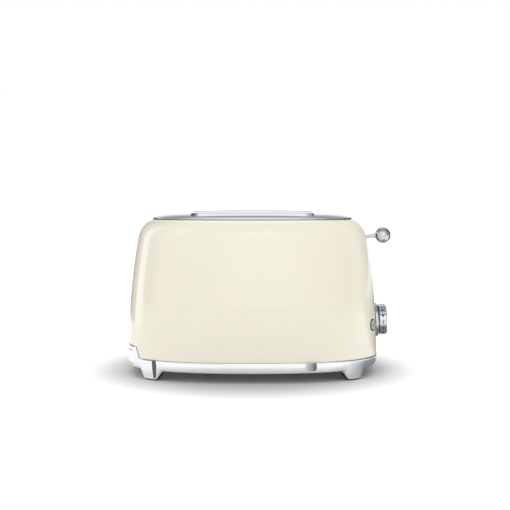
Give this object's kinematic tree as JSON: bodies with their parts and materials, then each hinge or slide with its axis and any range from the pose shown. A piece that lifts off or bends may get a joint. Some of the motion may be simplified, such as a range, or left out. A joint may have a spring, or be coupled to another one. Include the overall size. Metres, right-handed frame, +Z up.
{
  "type": "pop-up toaster",
  "caption": "Domed cream pop-up toaster with long twin bread slots, plated base on short legs, ball-ended lever, browning dial and press buttons at one end.",
  "frame": {"origin": "on the worktop, midway between the four feet", "axes": "+X along the bread slots towards the lever end, +Y to the back, +Z up"},
  "size_m": [0.3279, 0.195, 0.1985],
  "materials": {
    "cream_enamel": "glossy cream paint",
    "satin_steel": "fine satin",
    "chrome": "polished",
    "black_rubber": "matt",
    "galvanised_steel": "matt zinc",
    "bright_steel": "ground",
    "screw_steel": "zinc plated",
    "bronze": "sintered",
    "mica": "flaky mica sheet",
    "heater_alloy": "oxidised ribbon",
    "copper_winding": "enamelled wire",
    "white_thermoplastic": "heat resistant",
    "black_plastic": "fine grain",
    "circuit_board": "solder mask",
    "grey_button": "satin grey"
  },
  "bodies": {
    "housing": {"body_shell": "cream_enamel", "top_plate": "satin_steel", "base_skirt": "chrome", "foot_front_left": "black_rubber", "foot_front_right": "black_rubber", "foot_rear_left": "black_rubber", "foot_rear_right": "black_rubber", "base_plate": "galvanised_steel", "base_screws": "screw_steel", "cord_gland": "black_rubber", "terminal_block": "white_thermoplastic", "tray_rails": "galvanised_steel", "chamber_end_left": "galvanised_steel", "chamber_end_right": "galvanised_steel", "chamber_screws": "screw_steel", "reflector_front": "galvanised_steel", "reflector_rear": "galvanised_steel", "centre_divider": "galvanised_steel", "mica_board_front_outer": "mica", "mica_board_front_inner": "mica", "mica_board_rear_inner": "mica", "mica_board_rear_outer": "mica", "heating_ribbon_front_outer": "heater_alloy", "heating_ribbon_front_inner": "heater_alloy", "heating_ribbon_rear_inner": "heater_alloy", "heating_ribbon_rear_outer": "heater_alloy", "guide_rod": "bright_steel", "return_spring": "screw_steel", "magnet_core": "screw_steel", "magnet_coil": "copper_winding", "mains_contacts": "white_thermoplastic", "lever_slot_trim": "black_plastic", "dial_bezel": "chrome", "potentiometer": "black_plastic", "control_board": "circuit_board", "control_bracket": "white_thermoplastic", "button_ring_front": "black_plastic", "button_ring_rear": "black_plastic", "switch_front": "black_plastic", "switch_rear": "black_plastic"},
    "carriage": {"carriage_plate": "galvanised_steel", "carriage_bush": "bronze", "bread_rest_front": "bright_steel", "bread_rest_rear": "bright_steel", "armature": "screw_steel", "lever_stem": "chrome", "lever_ball": "chrome"},
    "dial": {"browning_dial": "chrome", "dial_shaft": "bright_steel"},
    "defrost_button": {"defrost_button": "grey_button"},
    "reheat_button": {"reheat_button": "grey_button"},
    "tray": {"crumb_tray": "galvanised_steel", "tray_front": "chrome"},
    "guide_front_outer": {"bread_guide_front_outer": "bright_steel"},
    "guide_front_inner": {"bread_guide_front_inner": "bright_steel"},
    "guide_rear_inner": {"bread_guide_rear_inner": "bright_steel"},
    "guide_rear_outer": {"bread_guide_rear_outer": "bright_steel"}
  },
  "joints": [
    {"name": "carriage_slide", "type": "slide", "parent": "housing", "child": "carriage", "axis": [0, 0, 1], "range_m": [-0.062, 0], "stiffness_N_per_m": 60, "springref_m": 0.055, "deforming": ["return_spring"]},
    {"name": "dial_turn", "type": "hinge", "parent": "housing", "child": "dial", "pos_m": [0.15348, 0, 0.0633], "axis": [0.9989, 0, 0.0473], "range_deg": [-102.5, 102.5]},
    {"name": "defrost_press", "type": "slide", "parent": "housing", "child": "defrost_button", "axis": [-0.9112, 0.4093, -0.0473], "range_m": [0, 0.0012], "stiffness_N_per_m": 400, "springref_m": -0.002},
    {"name": "reheat_press", "type": "slide", "parent": "housing", "child": "reheat_button", "axis": [-0.9112, -0.4093, -0.0473], "range_m": [0, 0.0012], "stiffness_N_per_m": 400, "springref_m": -0.002},
    {"name": "tray_slide", "type": "slide", "parent": "housing", "child": "tray", "axis": [-1, 0, 0], "range_m": [0, 0.2]},
    {"name": "front_outer_tilt", "type": "hinge", "parent": "housing", "child": "guide_front_outer", "pos_m": [0, -0.0485, 0.044], "axis": [1, 0, 0], "range_deg": [-2.5, 0]},
    {"name": "front_inner_tilt", "type": "hinge", "parent": "housing", "child": "guide_front_inner", "pos_m": [0, -0.0095, 0.044], "axis": [1, 0, 0], "range_deg": [0, 2.5]},
    {"name": "rear_inner_tilt", "type": "hinge", "parent": "housing", "child": "guide_rear_inner", "pos_m": [0, 0.0095, 0.044], "axis": [1, 0, 0], "range_deg": [-2.5, 0]},
    {"name": "rear_outer_tilt", "type": "hinge", "parent": "housing", "child": "guide_rear_outer", "pos_m": [0, 0.0485, 0.044], "axis": [1, 0, 0], "range_deg": [0, 2.5]}
  ],
  "couplings": [
    {"joint": "front_outer_tilt", "follows": "carriage_slide", "rad_per_m": 0.7037},
    {"joint": "front_inner_tilt", "follows": "carriage_slide", "rad_per_m": -0.7037},
    {"joint": "rear_inner_tilt", "follows": "carriage_slide", "rad_per_m": 0.7037},
    {"joint": "rear_outer_tilt", "follows": "carriage_slide", "rad_per_m": -0.7037}
  ]
}
